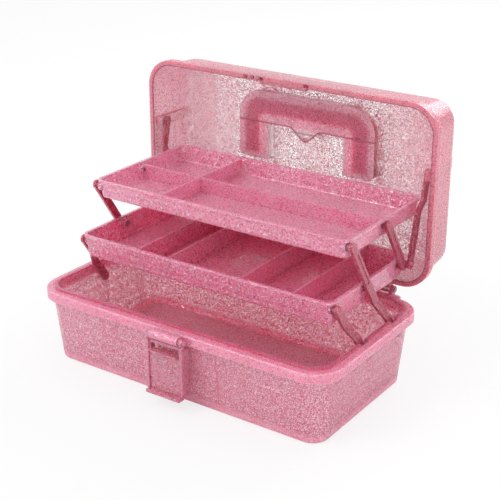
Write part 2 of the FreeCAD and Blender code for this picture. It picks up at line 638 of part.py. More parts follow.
# Lid: drawn closed over the tub, then turned open about its hinges
def swing_open(body):
    """Turn a piece that is drawn closed about the hinge line by the lid's angle."""
    body.Placement = Placement(Vector(), Rotation(Vector(-1, 0, 0), number("lid_angle")))
    bind(body, Placement__Rotation__Angle="lid_angle",
         Placement__Base__y=f"{HINGE_Y} - {HINGE_Y} * {LID_COS} - {HINGE_Z} * {LID_SIN}",
         Placement__Base__z=f"{HINGE_Z} + {HINGE_Y} * {LID_SIN} - {HINGE_Z} * {LID_COS}")


def recess_outline(sketch, growth):
    """The handle recess's outer outline, grown all round."""
    front, back = f"{RECESS_FRONT_Y} - {growth}", f"{RECESS_BACK_Y} + {growth}"
    wide = f"({RECESS_X} + {growth})"
    bend, turn = f"handle_corner + handle_gap + {growth}", f"recess_corner + {growth}"
    draw(sketch, ((f"-{wide}", front, bend), (wide, front, bend),
                  (wide, back, turn), (f"-{wide}", back, turn)))


def island_corners(inset, back):
    """The land between the handle's legs, drawn in all round, with its finger scoop."""
    half, scoop = f"({ISLAND_X} - {inset})", f"(scoop_width / 2 + {inset})"
    front, scoop_y = f"{ISLAND_Y} + {inset}", f"{ISLAND_Y} + scoop_depth + {inset}"
    return ((half, back, None), (half, front, "island_corner"), (scoop, front, "scoop_corner"),
            (scoop, scoop_y, "scoop_corner"), (f"-{scoop}", scoop_y, "scoop_corner"),
            (f"-{scoop}", front, "scoop_corner"), (f"-{half}", front, "island_corner"),
            (f"-{half}", back, None))


def lid_inside(height):
    """The inner face of the lid's end wall at a height."""
    taper = "(lid_step + lid_taper + lid_wall - lid_rim_face)"
    return f"({RIM_X} - lid_rim_face - {taper} * ({height} - {LID_Z}) / ({PLATE_Z} - {LID_Z}))"


def make_lid():
    body = new_body("lid_shell")
    crown = "(lid_step + lid_taper)"
    outlines = [rounded(body, z, f"{RIM_X} - {inset}", f"-{RIM_Y} + {inset}", f"{RIM_Y} - {inset}",
                        f"rim_corner - {inset}")
                for z, inset in ((f"{LID_Z} + lid_band / 2", "lid_step"), (LID_TOP_Z, crown))]
    loft(body, *outlines)
    pad(body, rounded(body, LID_Z, RIM_X, f"-{RIM_Y}", RIM_Y, "rim_corner"), "lid_band")
    outlines = [rounded(body, z, f"{RIM_X} - {inset}", f"-{RIM_Y} + {inset}", f"{RIM_Y} - {inset}",
                        f"rim_corner - {inset}")
                for z, inset in ((LID_Z, "lid_rim_face"), (PLATE_Z, f"({crown} + lid_wall)"))]
    loft(body, *outlines, cut=True)
    round_edges(body, "lid_round - lid_wall", flat_at(PLATE_Z))
    round_edges(body, "lid_round", flat_at(LID_TOP_Z))

    # handle recess: a boss under the top, hollow between the legs
    boss = sketch_on(body, "XY_Plane", f"{RECESS_Z} - lid_wall")
    recess_outline(boss, "lid_wall")
    pad(body, boss, "handle_thickness + 2 * handle_clear")
    hollow = sketch_on(body, "XY_Plane", f"{RECESS_Z} - lid_wall")
    draw(hollow, island_corners("lid_wall", f"{RECESS_BACK_Y} + 2 * lid_wall"))
    pocket(body, hollow, "handle_thickness + 2 * handle_clear", upwards=True)
    recess = sketch_on(body, "XY_Plane", LID_TOP_Z)
    bend = "handle_corner + handle_gap"
    front = RECESS_FRONT_Y
    draw(recess, ((f"-{RECESS_X}", RECESS_BACK_Y, "recess_corner"), (f"-{RECESS_X}", front, bend),
                  (RECESS_X, front, bend), (RECESS_X, RECESS_BACK_Y, "recess_corner"))
         + island_corners("0", RECESS_BACK_Y))
    pocket(body, recess, "handle_thickness + 2 * handle_clear")
    for pair in sides((f"{RECESS_X} + lid_wall / 2", f"{RECESS_X} + socket_depth + socket_wall")):
        rod(body, pair, "handle_pivot", HANDLE_Z, "handle_pin + socket_wall")
    for pair in sides((f"{RECESS_X} - lid_wall", f"{RECESS_X} + socket_depth")):
        rod(body, pair, "handle_pivot", HANDLE_Z, "handle_pin + pin_fit", cut=True)

    # brackets on the end walls for the links' upper pins
    foot = f"({LID_Z} + bracket_foot)"
    crown_z = f"({PLATE_Z} + lid_wall / 2)"
    for sign in ("", "-"):
        bracket = sketch_on(body, "XZ_Plane", f"-{LINK_TOP_CLOSED[0]}")
        draw(bracket, ((f"{sign}{BRACKET_X}", foot, None),
                       (f"{sign}({lid_inside(foot)} + lid_wall / 4)", foot, None),
                       (f"{sign}({lid_inside(crown_z)} + lid_wall / 4)", crown_z, None),
                       (f"{sign}{BRACKET_X}", crown_z, None)))
        pad(body, bracket, "bracket_width", middle=True)
    for pair in sides((f"{BRACKET_X} - run_gap", f"{BRACKET_X} + link_pin_length + run_gap")):
        rod(body, pair, *LINK_TOP_CLOSED, "link_pin + pin_fit", cut=True)

    # hinge knuckles behind the rim band
    diagonal = "knuckle_radius * sqrt(0.5)"
    for pair in sides(("hinge_offset - knuckle_width / 2", "hinge_offset + knuckle_width / 2")):
        knuckle = sketch_on(body, "YZ_Plane", pair[0])
        root = f"{RIM_Y} - lid_rim_face / 2"
        draw(knuckle, ((root, LID_Z, None), (HINGE_Y, LID_Z, None),
                       (f"{HINGE_Y} + {diagonal}", f"{HINGE_Z} + {diagonal}", None),
                       (root, f"{LID_Z} + lid_band - lid_gap", None)))
        pad(body, knuckle, "knuckle_width")
        rod(body, pair, HINGE_Y, HINGE_Z, "knuckle_radius")
        rod(body, pair, HINGE_Y, HINGE_Z, "hinge_pin + pin_fit", cut=True)

    # front of the rim: thicker in the middle, with short slots in its face
    inside = f"-{RIM_Y} + lid_rim_face"
    block(body, ("-thick_rim_width / 2", "thick_rim_width / 2"),
          (f"{inside} - lid_rim_face / 2", f"{inside} + thick_rim"), (LID_Z, f"{LID_Z} + lid_band"))
    for start, length in RIM_SLOTS:
        block(body, (str(start), str(start + length)),
              (f"-{RIM_Y} + slot_margin", f"{inside} - slot_margin"),
              (f"{LID_Z} - lid_gap", f"{LID_Z} + slot_depth"), cut=True)
    swing_open(body)
    return body


def make_handle():
    body = new_body("carry_handle")
    front = "(handle_pivot - handle_reach)"
    half, inner = "handle_length / 2", "(handle_length / 2 - handle_leg)"
    bar_y = f"{front} + handle_bar"
    outline = sketch_on(body, "XY_Plane", f"{HANDLE_Z} - handle_thickness / 2")
    draw(outline, ((f"-{half}", "handle_pivot", None), (f"-{half}", front, "handle_corner"),
                   (half, front, "handle_corner"), (half, "handle_pivot", None),
                   (inner, "handle_pivot", None), (inner, bar_y, "handle_inner"),
                   (f"-{inner}", bar_y, "handle_inner"), (f"-{inner}", "handle_pivot", None)))
    pad(body, outline, "handle_thickness")
    for pair in sides((inner, half)):
        rod(body, pair, "handle_pivot", HANDLE_Z, "handle_thickness / 2")
    faces = [flat_at(f"{HANDLE_Z} {sign} handle_thickness / 2") for sign in "+-"]
    ends = number("handle_pivot") - NEAR
    round_edges(body, "handle_round",
                lambda edge: any(face(edge) for face in faces) and edge.BoundBox.YMin < ends)
    for pair in sides((inner, f"{half} + handle_gap + socket_depth - end_play")):
        rod(body, pair, "handle_pivot", HANDLE_Z, "handle_pin")
    swing_open(body)
    return body


# Front latch, hanging open from the lug on the tub
def make_latch():
    body = new_body("front_latch")
    half, inner = "latch_width / 2", "(latch_width / 2 - window_side)"
    bottom = f"({LATCH_Z} - latch_length)"
    bar_top = f"({LATCH_Z} - lug_radius - end_play)"
    window_top = f"({bar_top} - latch_bar)"
    window_base = f"({window_top} - window_height)"
    plate = sketch_on(body, "XZ_Plane", f"-{LATCH_Y}")
    draw(plate, ((f"-{half}", bottom, "latch_corner"), (half, bottom, "latch_corner"),
                 (half, LATCH_Z, None), (inner, LATCH_Z, None),
                 (inner, bar_top, None), (f"-{inner}", bar_top, None),
                 (f"-{inner}", LATCH_Z, None), (f"-{half}", LATCH_Z, None)))
    draw(plate, ((f"-{inner}", window_top, None), (inner, window_top, None),
                 (inner, window_base, None), (f"-{inner}", window_base, None)))
    pad(body, plate, "latch_thickness", middle=True)
    face = f"{LATCH_Y} - latch_thickness / 2"
    block(body, (f"-{half} + latch_rail / 2", f"{half} - latch_rail / 2"),
          (f"{face} - latch_lip", LATCH_Y), (bottom, f"{bottom} + lip_thickness"))
    hook = sketch_on(body, "YZ_Plane")
    draw(hook, ((LATCH_Y, window_base, None), (f"{face} - hook_reach", window_base, None),
                (f"{face} - hook_reach", f"{window_base} - hook_nose", None),
                (f"{face} + latch_thickness / 4", f"{window_base} - hook_height", None),
                (LATCH_Y, f"{window_base} - hook_height", None)))
    pad(body, hook, "hook_width", middle=True)
    for pair in sides((f"{half} - latch_rail", half)):
        block(body, pair, (f"{face} - rail_depth", LATCH_Y),
              (f"{bottom} + latch_corner", f"{LATCH_Z} - lug_radius"))
    for pair in sides((f"{half} - flange_wall", half)):
        block(body, pair, (LATCH_Y, f"{LATCH_Y} + latch_thickness / 2 + flange_depth"),
              (f"{bottom} + latch_corner", f"{LATCH_Z} - flange_drop"))
    for pair in sides((inner, half)):
        rod(body, pair, LATCH_Y, LATCH_Z, "latch_eye")
        rod(body, pair, LATCH_Y, LATCH_Z, "latch_pin_radius + pin_fit", cut=True)
    return body


def make_pin(name, middle, half_length, y, z, radius):
    """A pin along X with a flat head at each end."""
    body = new_body(name)
    rod(body, (f"{middle} - ({half_length})", f"{middle} + {half_length}"), y, z, radius)
    for pair in sides((half_length, f"{half_length} + head_height")):
        rod(body, (f"{middle} + {pair[0]}", f"{middle} + {pair[1]}"), y, z, f"{radius} + head_reach")
    return body


def mirrored(right, name):
    """The left-hand twin of a right-hand piece."""
    twin = doc.addObject("Part::Mirroring", name)
    twin.Label = name
    twin.Source = right
    twin.Normal = Vector(1, 0, 0)
    return twin


pieces = [make_tub(), make_lid(), make_lower_tray(), make_upper_tray(), make_handle(), make_latch()]
pieces += [make_divider(row, place) for row, place in enumerate(DIVIDERS, start=1)]
pieces.append(make_pin("latch_pin", "0", "latch_width / 2 + end_play", LATCH_Y, LATCH_Z,
                       "latch_pin_radius"))
pieces.append(make_pin("hinge_pin_right", "hinge_offset",
                       "knuckle_width / 2 + run_gap + ear_thickness + end_play / 2",
                       HINGE_Y, HINGE_Z, "hinge_pin"))
pieces += [make_long_arm(), make_front_arm(), make_rear_arm(), make_lid_link()]
pieces += [mirrored(piece, piece.Label.replace("_right", "_left")) for piece in list(pieces)
           if piece.Label.endswith("_right")]

doc.recompute()
for item in doc.Objects:
    if "Invalid" in item.State or "Error" in item.State:
        raise RuntimeError(f"{item.Label} failed: {item.State}")
for piece in pieces:
    if piece.Shape.isNull() or not piece.Shape.isValid():
        raise RuntimeError(f"{piece.Label} has no valid shape")
    piece.Shape.exportStep(f"parts/{piece.Label}.step")
    print(piece.Label, len(piece.Shape.Solids), round(piece.Shape.Volume / 1000, 2), "cm3")
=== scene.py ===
# A fold-out craft storage box in pink glitter plastic, open on a pale studio floor.
# The file goes through the box in the order in which it is put together.
import math

import bpy
import numpy as np
from mathutils import Matrix, Vector


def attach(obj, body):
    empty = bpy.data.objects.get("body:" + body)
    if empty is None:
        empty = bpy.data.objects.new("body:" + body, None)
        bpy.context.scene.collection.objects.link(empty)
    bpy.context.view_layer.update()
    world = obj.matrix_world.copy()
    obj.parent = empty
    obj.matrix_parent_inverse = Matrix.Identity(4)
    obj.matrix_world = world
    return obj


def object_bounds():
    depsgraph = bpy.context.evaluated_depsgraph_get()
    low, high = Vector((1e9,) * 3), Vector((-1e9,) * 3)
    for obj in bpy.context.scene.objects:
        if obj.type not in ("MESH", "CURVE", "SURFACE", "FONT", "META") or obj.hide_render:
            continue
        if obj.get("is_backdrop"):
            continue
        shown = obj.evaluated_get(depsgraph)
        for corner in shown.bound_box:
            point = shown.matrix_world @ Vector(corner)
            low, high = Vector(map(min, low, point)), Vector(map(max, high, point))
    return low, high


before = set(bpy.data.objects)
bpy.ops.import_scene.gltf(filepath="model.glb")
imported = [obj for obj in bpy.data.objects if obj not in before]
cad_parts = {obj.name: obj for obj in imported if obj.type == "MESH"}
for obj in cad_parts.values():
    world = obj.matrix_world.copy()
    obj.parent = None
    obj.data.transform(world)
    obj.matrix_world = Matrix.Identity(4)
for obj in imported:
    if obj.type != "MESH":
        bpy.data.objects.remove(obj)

cad_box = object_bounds()

# Camera: a little above the rim of the open lid, to the right of the latch, with a long lens.
# It looks down on the box without shift, and the box sits in the square frame as photographed.
view_azimuth = math.radians(34.6)
view_down = math.radians(22.54)
view_roll = math.radians(0.07)
camera_place = (0.5989, -0.8291, 0.5472)
focal_pixels = 1179.4
picture_pixels = 500.0
back = Vector((math.sin(view_azimuth) * math.cos(view_down),
               -math.cos(view_azimuth) * math.cos(view_down), math.sin(view_down)))
camera = bpy.data.objects.new("studio_camera", bpy.data.cameras.new("studio_camera"))
camera.data.sensor_width = 36.0
camera.data.lens = camera.data.sensor_width * focal_pixels / picture_pixels
camera.data.clip_start, camera.data.clip_end = 0.05, 30.0
camera.matrix_world = (Matrix.Translation(camera_place)
                       @ (-back).to_track_quat("-Z", "Y").to_matrix().to_4x4()
                       @ Matrix.Rotation(view_roll, 4, "Z"))
bpy.context.scene.collection.objects.link(camera)
bpy.context.scene.camera = camera
bpy.context.scene.view_settings.view_transform = "Standard"


# Studio floor: one wide flat sheet of matt pale paper under the box.
# It is lit by the lamps like anything else, and lifted towards white only for the camera's rays.
def wide_sheet(name, half_size, height):
    """Corners at plus and minus the half size on X and Y, all at one height."""
    corners = np.array([(-1, -1, 0), (1, -1, 0), (1, 1, 0), (-1, 1, 0)], float) * half_size
    corners[:, 2] = height
    mesh = bpy.data.meshes.new(name)
    mesh.from_pydata(corners.tolist(), [], [(0, 1, 2, 3)])
    sheet = bpy.data.objects.new(name, mesh)
    bpy.context.scene.collection.objects.link(sheet)
    return sheet


def add(tree, kind, fed=None, fixed=None, **settings):
    """A shader node with its settings, its fixed inputs, and the sockets that feed the others."""
    node = tree.nodes.new("ShaderNode" + kind)
    for key, value in settings.items():
        setattr(node, key, value)
    for key, value in (fixed or {}).items():
        node.inputs[key].default_value = value
    for key, source in (fed or {}).items():
        tree.links.new(source, node.inputs[key])
    return node


def new_material(name, **values):
    """A material with values set on its shader, where a space in a name is written as _."""
    material = bpy.data.materials.new(name)
    material.use_nodes = True
    surface = material.node_tree.nodes["Principled BSDF"]
    for key, value in values.items():
        surface.inputs[key.replace("_", " ")].default_value = value
    return material, material.node_tree, surface


white = (1, 1, 1, 1)
floor = wide_sheet("studio_floor", 6.0, -0.0003)
floor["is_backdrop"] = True
paper, tree, surface = new_material("pale_paper", Base_Color=(0.86, 0.86, 0.87, 1), Roughness=0.8,
                                    Specular_IOR_Level=0.2)
glow = add(tree, "Emission", fixed={"Color": white, "Strength": 1.0})
rays = add(tree, "LightPath")
seen = add(tree, "Math", {0: rays.outputs["Is Camera Ray"]}, {1: 0.75}, operation="MULTIPLY")
lift = add(tree, "MixShader", {"Fac": seen.outputs[0], 1: surface.outputs[0], 2: glow.outputs[0]})
tree.links.new(lift.outputs[0], tree.nodes["Material Output"].inputs["Surface"])
floor.data.materials.append(paper)

# Studio light: a white room that fills every shadow, one large soft lamp high on the left of
# the camera, a weaker one on its right, and one behind that shines through the lid.
world = bpy.data.worlds.new("white_room")
bpy.context.scene.world = world
world.use_nodes = True
tree = world.node_tree
room = tree.nodes["Background"]
room.inputs["Color"].default_value = white
room.inputs["Strength"].default_value = 0.85
seen_room = add(tree, "Background", fixed={"Color": white, "Strength": 1.0})
rays = add(tree, "LightPath")
seen_or_mirrored = add(tree, "Math", {0: rays.outputs["Is Camera Ray"],
                                      1: rays.outputs["Is Glossy Ray"]}, operation="MAXIMUM")
seen_at_all = add(tree, "Math", {0: seen_or_mirrored.outputs[0],
                                 1: rays.outputs["Is Transmission Ray"]}, operation="MAXIMUM")
choice = add(tree, "MixShader", {"Fac": seen_at_all.outputs[0], 1: room.outputs[0],
                                 2: seen_room.outputs[0]})
tree.links.new(choice.outputs[0], tree.nodes["World Output"].inputs["Surface"])

lit_spot = Vector((0, 0.02, 0.1))
for lamp_name, place, size, watts in (("key_lamp", (-0.9, -1.5, 1.9), 1.1, 18.0),
                                      ("fill_lamp", (1.7, -0.5, 1.2), 1.2, 3.5),
                                      ("back_lamp", (0.2, 1.6, 1.1), 1.0, 12.0)):
    lamp = bpy.data.objects.new(lamp_name, bpy.data.lights.new(lamp_name, "AREA"))
    lamp.data.size = size
    lamp.data.energy = watts
    lamp.location = place
    lamp.rotation_euler = (lit_spot - Vector(place)).to_track_quat("-Z", "Y").to_euler()
    bpy.context.scene.collection.objects.link(lamp)


# Base tub: one moulding of translucent pink plastic with fine glitter in it, with its rim band,
# raised lip, latch lug, pivot bosses and hinge ears. Everything else is carried by it, and the
# latch's pin is of the same plastic.
def new_group(name, inputs, outputs):
    """An empty node group, the sockets that bring its inputs, and those that take its outputs."""
    group = bpy.data.node_groups.new(name, "ShaderNodeTree")
    for way, sockets in (("INPUT", inputs), ("OUTPUT", outputs)):
        for label, kind in sockets.items():
            group.interface.new_socket(label, in_out=way, socket_type="NodeSocket" + kind)
    into, out = group.nodes.new("NodeGroupInput"), group.nodes.new("NodeGroupOutput")
    return group, into.outputs, out.inputs


def flake_group():
    """Glitter flakes on a grid of random cells: a cell holds a flake where its random number is
    under the share, the flake covers the cell's middle, and its tilt is the cell's random colour.
    Tone is a half plus the contrast times the distance of another random number from a half."""
    flake_reach = 0.55
    group, into, out = new_group(
        "glitter_flakes", {"Place": "Vector", "Flakes per metre": "Float", "Share": "Float",
                           "Tilt": "Float", "Contrast": "Float"},
        {"Flake": "Float", "Tone": "Float", "Facing": "Vector"})
    cells = add(group, "TexVoronoi", {"Vector": into["Place"], "Scale": into["Flakes per metre"]},
                feature="F1")
    parts = add(group, "SeparateColor", {"Color": cells.outputs["Color"]})
    chosen = add(group, "Math", {0: parts.outputs["Red"], 1: into["Share"]}, operation="LESS_THAN")
    disc = add(group, "Math", {0: cells.outputs["Distance"]}, {1: flake_reach},
               operation="LESS_THAN")
    flake = add(group, "Math", {0: chosen.outputs[0], 1: disc.outputs[0]}, operation="MULTIPLY")
    lean = add(group, "VectorMath", {0: cells.outputs["Color"]}, {1: (0.5, 0.5, 0.5)},
               operation="SUBTRACT")
    much = add(group, "VectorMath", {0: lean.outputs[0], "Scale": into["Tilt"]}, operation="SCALE")
    shape = add(group, "NewGeometry")
    total = add(group, "VectorMath", {0: shape.outputs["Normal"], 1: much.outputs[0]},
                operation="ADD")
    facing = add(group, "VectorMath", {0: total.outputs[0]}, operation="NORMALIZE")
    offset = add(group, "Math", {0: parts.outputs["Green"]}, {1: 0.5}, operation="SUBTRACT")
    tone = add(group, "Math", {0: offset.outputs[0], 1: into["Contrast"]}, {2: 0.5},
               operation="MULTIPLY_ADD", use_clamp=True)
    for label, node in (("Flake", flake), ("Tone", tone), ("Facing", facing)):
        group.links.new(node.outputs[0], out[label])
    return group


def cloud_group():
    """Slow clouds: a noise of 22 waves a metre, nothing where it is under 0.35 and rising to the
    clouds' full share where it is over 0.7."""
    group, into, out = new_group("slow_clouds", {"Place": "Vector"}, {"Share": "Float"})
    noise = add(group, "TexNoise", {"Vector": into["Place"]}, {"Scale": 22.0, "Detail": 3.0})
    share = add(group, "MapRange", {"Value": noise.outputs["Fac"]},
                {"From Min": 0.35, "From Max": 0.7, "To Min": 0.0, "To Max": 0.55})
    group.links.new(share.outputs["Result"], out["Share"])
    return group


def edge_group():
    """A mask along edges, used for painted shade and for thicker plastic: nothing where the normal
    of a wide bevel agrees with the true one, and the most where the dot product of the two has
    fallen from 0.99 to 0.8."""
    group, into, out = new_group("edge_shade_and_thickness", {"Radius": "Float", "Most": "Float"},
                                 {"Edge": "Float"})
    wide = add(group, "Bevel", {"Radius": into["Radius"]}, samples=4)
    shape = add(group, "NewGeometry")
    agree = add(group, "VectorMath", {0: wide.outputs["Normal"], 1: shape.outputs["Normal"]},
                operation="DOT_PRODUCT")
    edge = add(group, "MapRange", {"Value": agree.outputs["Value"], "To Max": into["Most"]},
               {"From Min": 0.99, "From Max": 0.8, "To Min": 0.0})
    group.links.new(edge.outputs["Result"], out["Edge"])
    return group


def outward_group():
    """How far a face looks outwards: the dot product of its normal with the way from the heart of
    the piece. It is below nothing on an inner face."""
    group, into, out = new_group("outward_way", {"Place": "Vector", "Heart": "Vector"},
                                 {"Outward": "Float"})
    away = add(group, "VectorMath", {0: into["Place"], 1: into["Heart"]}, operation="SUBTRACT")
    shape = add(group, "NewGeometry")
    outward = add(group, "VectorMath", {0: away.outputs[0], 1: shape.outputs["True Normal"]},
                  operation="DOT_PRODUCT")
    group.links.new(outward.outputs["Value"], out["Outward"])
    return group


def skin_group():
    """Moulded skin: the normal rounded over sharp edges by a radius, and the height of faint sink
    marks, a noise of 90 waves a metre."""
    group, into, out = new_group("moulded_skin", {"Place": "Vector", "Radius": "Float"},
                                 {"Rounded": "Vector", "Height": "Float"})
    rim = add(group, "Bevel", {"Radius": into["Radius"]}, samples=6)
    sink = add(group, "TexNoise", {"Vector": into["Place"]}, {"Scale": 90.0, "Detail": 2.0})
    group.links.new(rim.outputs["Normal"], out["Rounded"])
    group.links.new(sink.outputs["Fac"], out["Height"])
    return group


glitter_flakes, slow_clouds, edge_shade_and_thickness = flake_group(), cloud_group(), edge_group()
outward_way, moulded_skin = outward_group(), skin_group()


def glitter_plastic(name, colour, deep, heart, share=0.55, sparkle=0.8, clear=1.0, inner=3.4,
                    outer=1.4, edge=0.0006, outline=0.6, glow=((1, 1, 1), 0.0), coat=(0.25, 0.12)):
    """Plastic of one colour that drifts towards a deeper one in slow clouds, with a layer of fine
    flakes and a layer of coarser, brighter ones, and edges rounded by a small radius. Along the
    edges the colour is darkened by the outline's share as painted shade, and the plastic is made
    thicker there. Light passes between the flakes, where the alpha is the clear value, and not
    through a flake. On inner faces, those whose normal points to the heart of the piece, the
    flakes get more contrast as a painted glint. The glow is a painted glow of light held in the
    plastic."""
    material, tree, surface = new_material(
        name, Emission_Color=(*glow[0], 1), Emission_Strength=glow[1], Coat_Weight=coat[0],
        Coat_Roughness=coat[1], Subsurface_Weight=0.8, Subsurface_Radius=(1.0, 0.45, 0.55),
        Subsurface_Scale=0.012)
    place = add(tree, "TexCoord").outputs["Object"]
    clouds = add(tree, "Group", {"Place": place}, node_tree=slow_clouds)
    body = add(tree, "Mix", {"Factor": clouds.outputs["Share"]},
               {"A": (*colour, 1), "B": (*deep, 1)}, data_type="RGBA")
    edges = add(tree, "Group", fixed={"Radius": 2.0 * edge, "Most": outline}, node_tree=edge_shade_and_thickness)
    outward = add(tree, "Group", {"Place": place}, {"Heart": heart}, node_tree=outward_way,
                  name="outward")
    # painted glint: the flakes' tone contrast is higher on inner faces than on outer ones
    contrast = add(tree, "MapRange", {"Value": outward.outputs["Outward"]},
                   {"From Min": -0.002, "From Max": 0.002, "To Min": inner, "To Max": outer})

    # two layers of flakes, from half the deep colour to a pale cast of the main one
    dark_flake = (*[0.5 * part for part in deep], 1)
    pale_flake = (*[min(1.0, 0.76 + 0.4 * part) for part in colour], 1)
    colour_now, amounts = body.outputs["Result"], []
    for per_metre, layer_share, tilt, strength in ((1150.0, share, 1.2, 0.9),
                                                   (820.0, share * 0.5, 0.9, 1.0)):
        layer = add(tree, "Group", {"Place": place, "Contrast": contrast.outputs["Result"]},
                    {"Flakes per metre": per_metre, "Share": layer_share, "Tilt": tilt},
                    node_tree=glitter_flakes)
        shade = add(tree, "Mix", {"Factor": layer.outputs["Tone"]},
                    {"A": dark_flake, "B": pale_flake}, data_type="RGBA")
        amount = add(tree, "Math", {0: layer.outputs["Flake"]}, {1: strength * sparkle},
                     operation="MULTIPLY").outputs[0]
        mixed = add(tree, "Mix", {"Factor": amount, "A": colour_now, "B": shade.outputs["Result"]},
                    data_type="RGBA")
        colour_now = mixed.outputs["Result"]
        amounts.append(amount)
    both = add(tree, "Math", {0: amounts[0], 1: amounts[1]}, operation="MAXIMUM").outputs[0]
    # painted shade along edges: the colour is multiplied by a darker pink there
    painted_edge_shade = add(tree, "Mix", {"Factor": edges.outputs["Edge"], "A": colour_now},
                {"B": (0.72, 0.42, 0.55, 1)}, data_type="RGBA", blend_type="MULTIPLY")
    tree.links.new(painted_edge_shade.outputs["Result"], surface.inputs["Base Color"])

    # flakes are metal-bright, smoother than the plastic and tilted, over the moulded skin
    metal = add(tree, "Math", {0: both}, {1: 0.6}, operation="MULTIPLY")
    tree.links.new(metal.outputs[0], surface.inputs["Metallic"])
    rough = add(tree, "MapRange", {"Value": both}, {"To Min": 0.33, "To Max": 0.22})
    tree.links.new(rough.outputs["Result"], surface.inputs["Roughness"])
    skin = add(tree, "Group", {"Place": place}, {"Radius": edge}, node_tree=moulded_skin)
    ripple = add(tree, "Bump", {"Height": skin.outputs["Height"],
                                "Normal": skin.outputs["Rounded"]},
                 {"Strength": 0.12, "Distance": 0.0006})
    turned = add(tree, "Mix", {"Factor": both, "A": ripple.outputs["Normal"],
                               "B": layer.outputs["Facing"]}, data_type="VECTOR")
    tree.links.new(turned.outputs["Result"], surface.inputs["Normal"])

    # a flake lets no light through, and the plastic between flakes as much as it is clear
    clearness = add(tree, "Math", {0: edges.outputs["Edge"]}, {1: clear}, operation="ADD",
                    use_clamp=True, name="clearness")
    cover = add(tree, "MapRange", {"Value": both, "To Min": clearness.outputs[0]},
                {"From Max": 0.85 * sparkle})
    tree.links.new(cover.outputs["Result"], surface.inputs["Alpha"])
    return material


def dress(material, *names):
    """Give CAD nodes one material."""
    for name in names:
        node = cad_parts[name]
        node.data.materials.clear()
        node.data.materials.append(material)


def soft_step(tree, source, low, high, top=1.0):
    """Nothing up to the low value, the top value from the high one, and a smooth rise between.
    Where low is the larger of the two, the step falls instead."""
    step = add(tree, "MapRange", {"Value": source},
               {"From Min": low, "From Max": high, "To Min": 0.0, "To Max": top},
               interpolation_type="SMOOTHSTEP")
    return step.outputs["Result"]


def combine(tree, operation, first, second):
    """Two masks joined by one sum."""
    return add(tree, "Math", {0: first, 1: second}, operation=operation).outputs[0]


def tint(material, mask, colour):
    """Multiply a material's colour, flakes and all, by another colour where a mask is one."""
    tree = material.node_tree
    target = tree.nodes["Principled BSDF"].inputs["Base Color"]
    layer = add(tree, "Mix", {"Factor": mask, "A": target.links[0].from_socket},
                {"B": (*colour, 1)}, data_type="RGBA", blend_type="MULTIPLY")
    tree.links.new(layer.outputs["Result"], target)


# a faint pink painted glow stands in for light held in the tub's translucent walls
tub_plastic = glitter_plastic("tub_glitter_pink", (0.93, 0.29, 0.43), (0.87, 0.19, 0.32),
                              (0.0, 0.0, 0.07), share=0.74, outer=0.8,
                              glow=((1.0, 0.15, 0.25), 0.05))
tree = tub_plastic.node_tree
place = add(tree, "TexCoord").outputs["Object"]
height = add(tree, "SeparateXYZ", {0: place}).outputs["Z"]
rim_low, rim_high = 0.062, 0.066
floor_low, floor_high = 0.004, 0.012
lip_low, lip_high = 0.0751, 0.0757
rim_and_floor = combine(tree, "ADD", soft_step(tree, height, rim_low, rim_high, 0.6),
                        soft_step(tree, height, floor_high, floor_low, 0.5))
thick = add(tree, "Math", {0: rim_and_floor}, {1: 0.25}, operation="ADD")
tree.links.new(thick.outputs[0], tree.nodes["clearness"].inputs[1])
tint(tub_plastic, soft_step(tree, height, rim_low, rim_high), (0.93, 0.90, 0.94))
tint(tub_plastic, soft_step(tree, height, lip_low, lip_high), (0.72, 0.39, 0.51))
dress(tub_plastic, "base_tub", "latch_pin")


# Hinge flange: the tub's rim runs out in a shelf under the lid's hinges. It is part of the tub's
# moulding, one strip with rounded ends between the rim and the pins.
def closed_sweep(name, rings, joined=False):
    """Equal rings of points joined one to the next, with a fan over each end, or the last
    ring joined to the first."""
    count, around = rings.shape[:2]
    centres = np.stack([rings[0].mean(0), rings[-1].mean(0)])
    step, turn = np.meshgrid(np.arange(count if joined else count - 1), np.arange(around),
                             indexing="ij")
    nearby, ahead = (turn + 1) % around, (step + 1) % count
    quads = np.stack([step * around + turn, step * around + nearby,
                      ahead * around + nearby, ahead * around + turn], -1).reshape(-1, 4)
    turn = np.arange(around)
    nearby = (turn + 1) % around
    last = (count - 1) * around
    start = np.stack([nearby, turn, np.full(around, count * around)], -1)
    end = np.stack([last + turn, last + nearby, np.full(around, count * around + 1)], -1)
    points, faces = rings.reshape(-1, 3).tolist(), quads.tolist()
    if not joined:
        points += centres.tolist()
        faces += start.tolist() + end.tolist()
    mesh = bpy.data.meshes.new(name)
    mesh.from_pydata(points, [], faces)
    mesh.polygons.foreach_set("use_smooth", np.ones(len(mesh.polygons), bool))
    piece = bpy.data.objects.new(name, mesh)
    bpy.context.scene.collection.objects.link(piece)
    return piece


flange_half, corner, flange_steps = 0.138, 0.006, 120
underside, low_edge, high_edge, upper_side = 0.0712, 0.0718, 0.0737, 0.0743
x = np.linspace(-flange_half, flange_half, flange_steps)
past = np.clip((np.abs(x) - (flange_half - corner)) / corner, 0, 1)
front = np.full(flange_steps, 0.0885)
rear = 0.0915 + corner * np.sqrt(1 - past ** 2)
inset = rear - 0.0006
outline = ((front, underside), (inset, underside), (rear, low_edge),
           (rear, high_edge), (inset, upper_side), (front, upper_side))
flange_rings = np.stack([np.stack([x, y, np.full(flange_steps, z)], -1) for y, z in outline], 1)
flange = closed_sweep("hinge_flange", flange_rings)
flange.data.materials.append(tub_plastic)
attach(flange, "base")
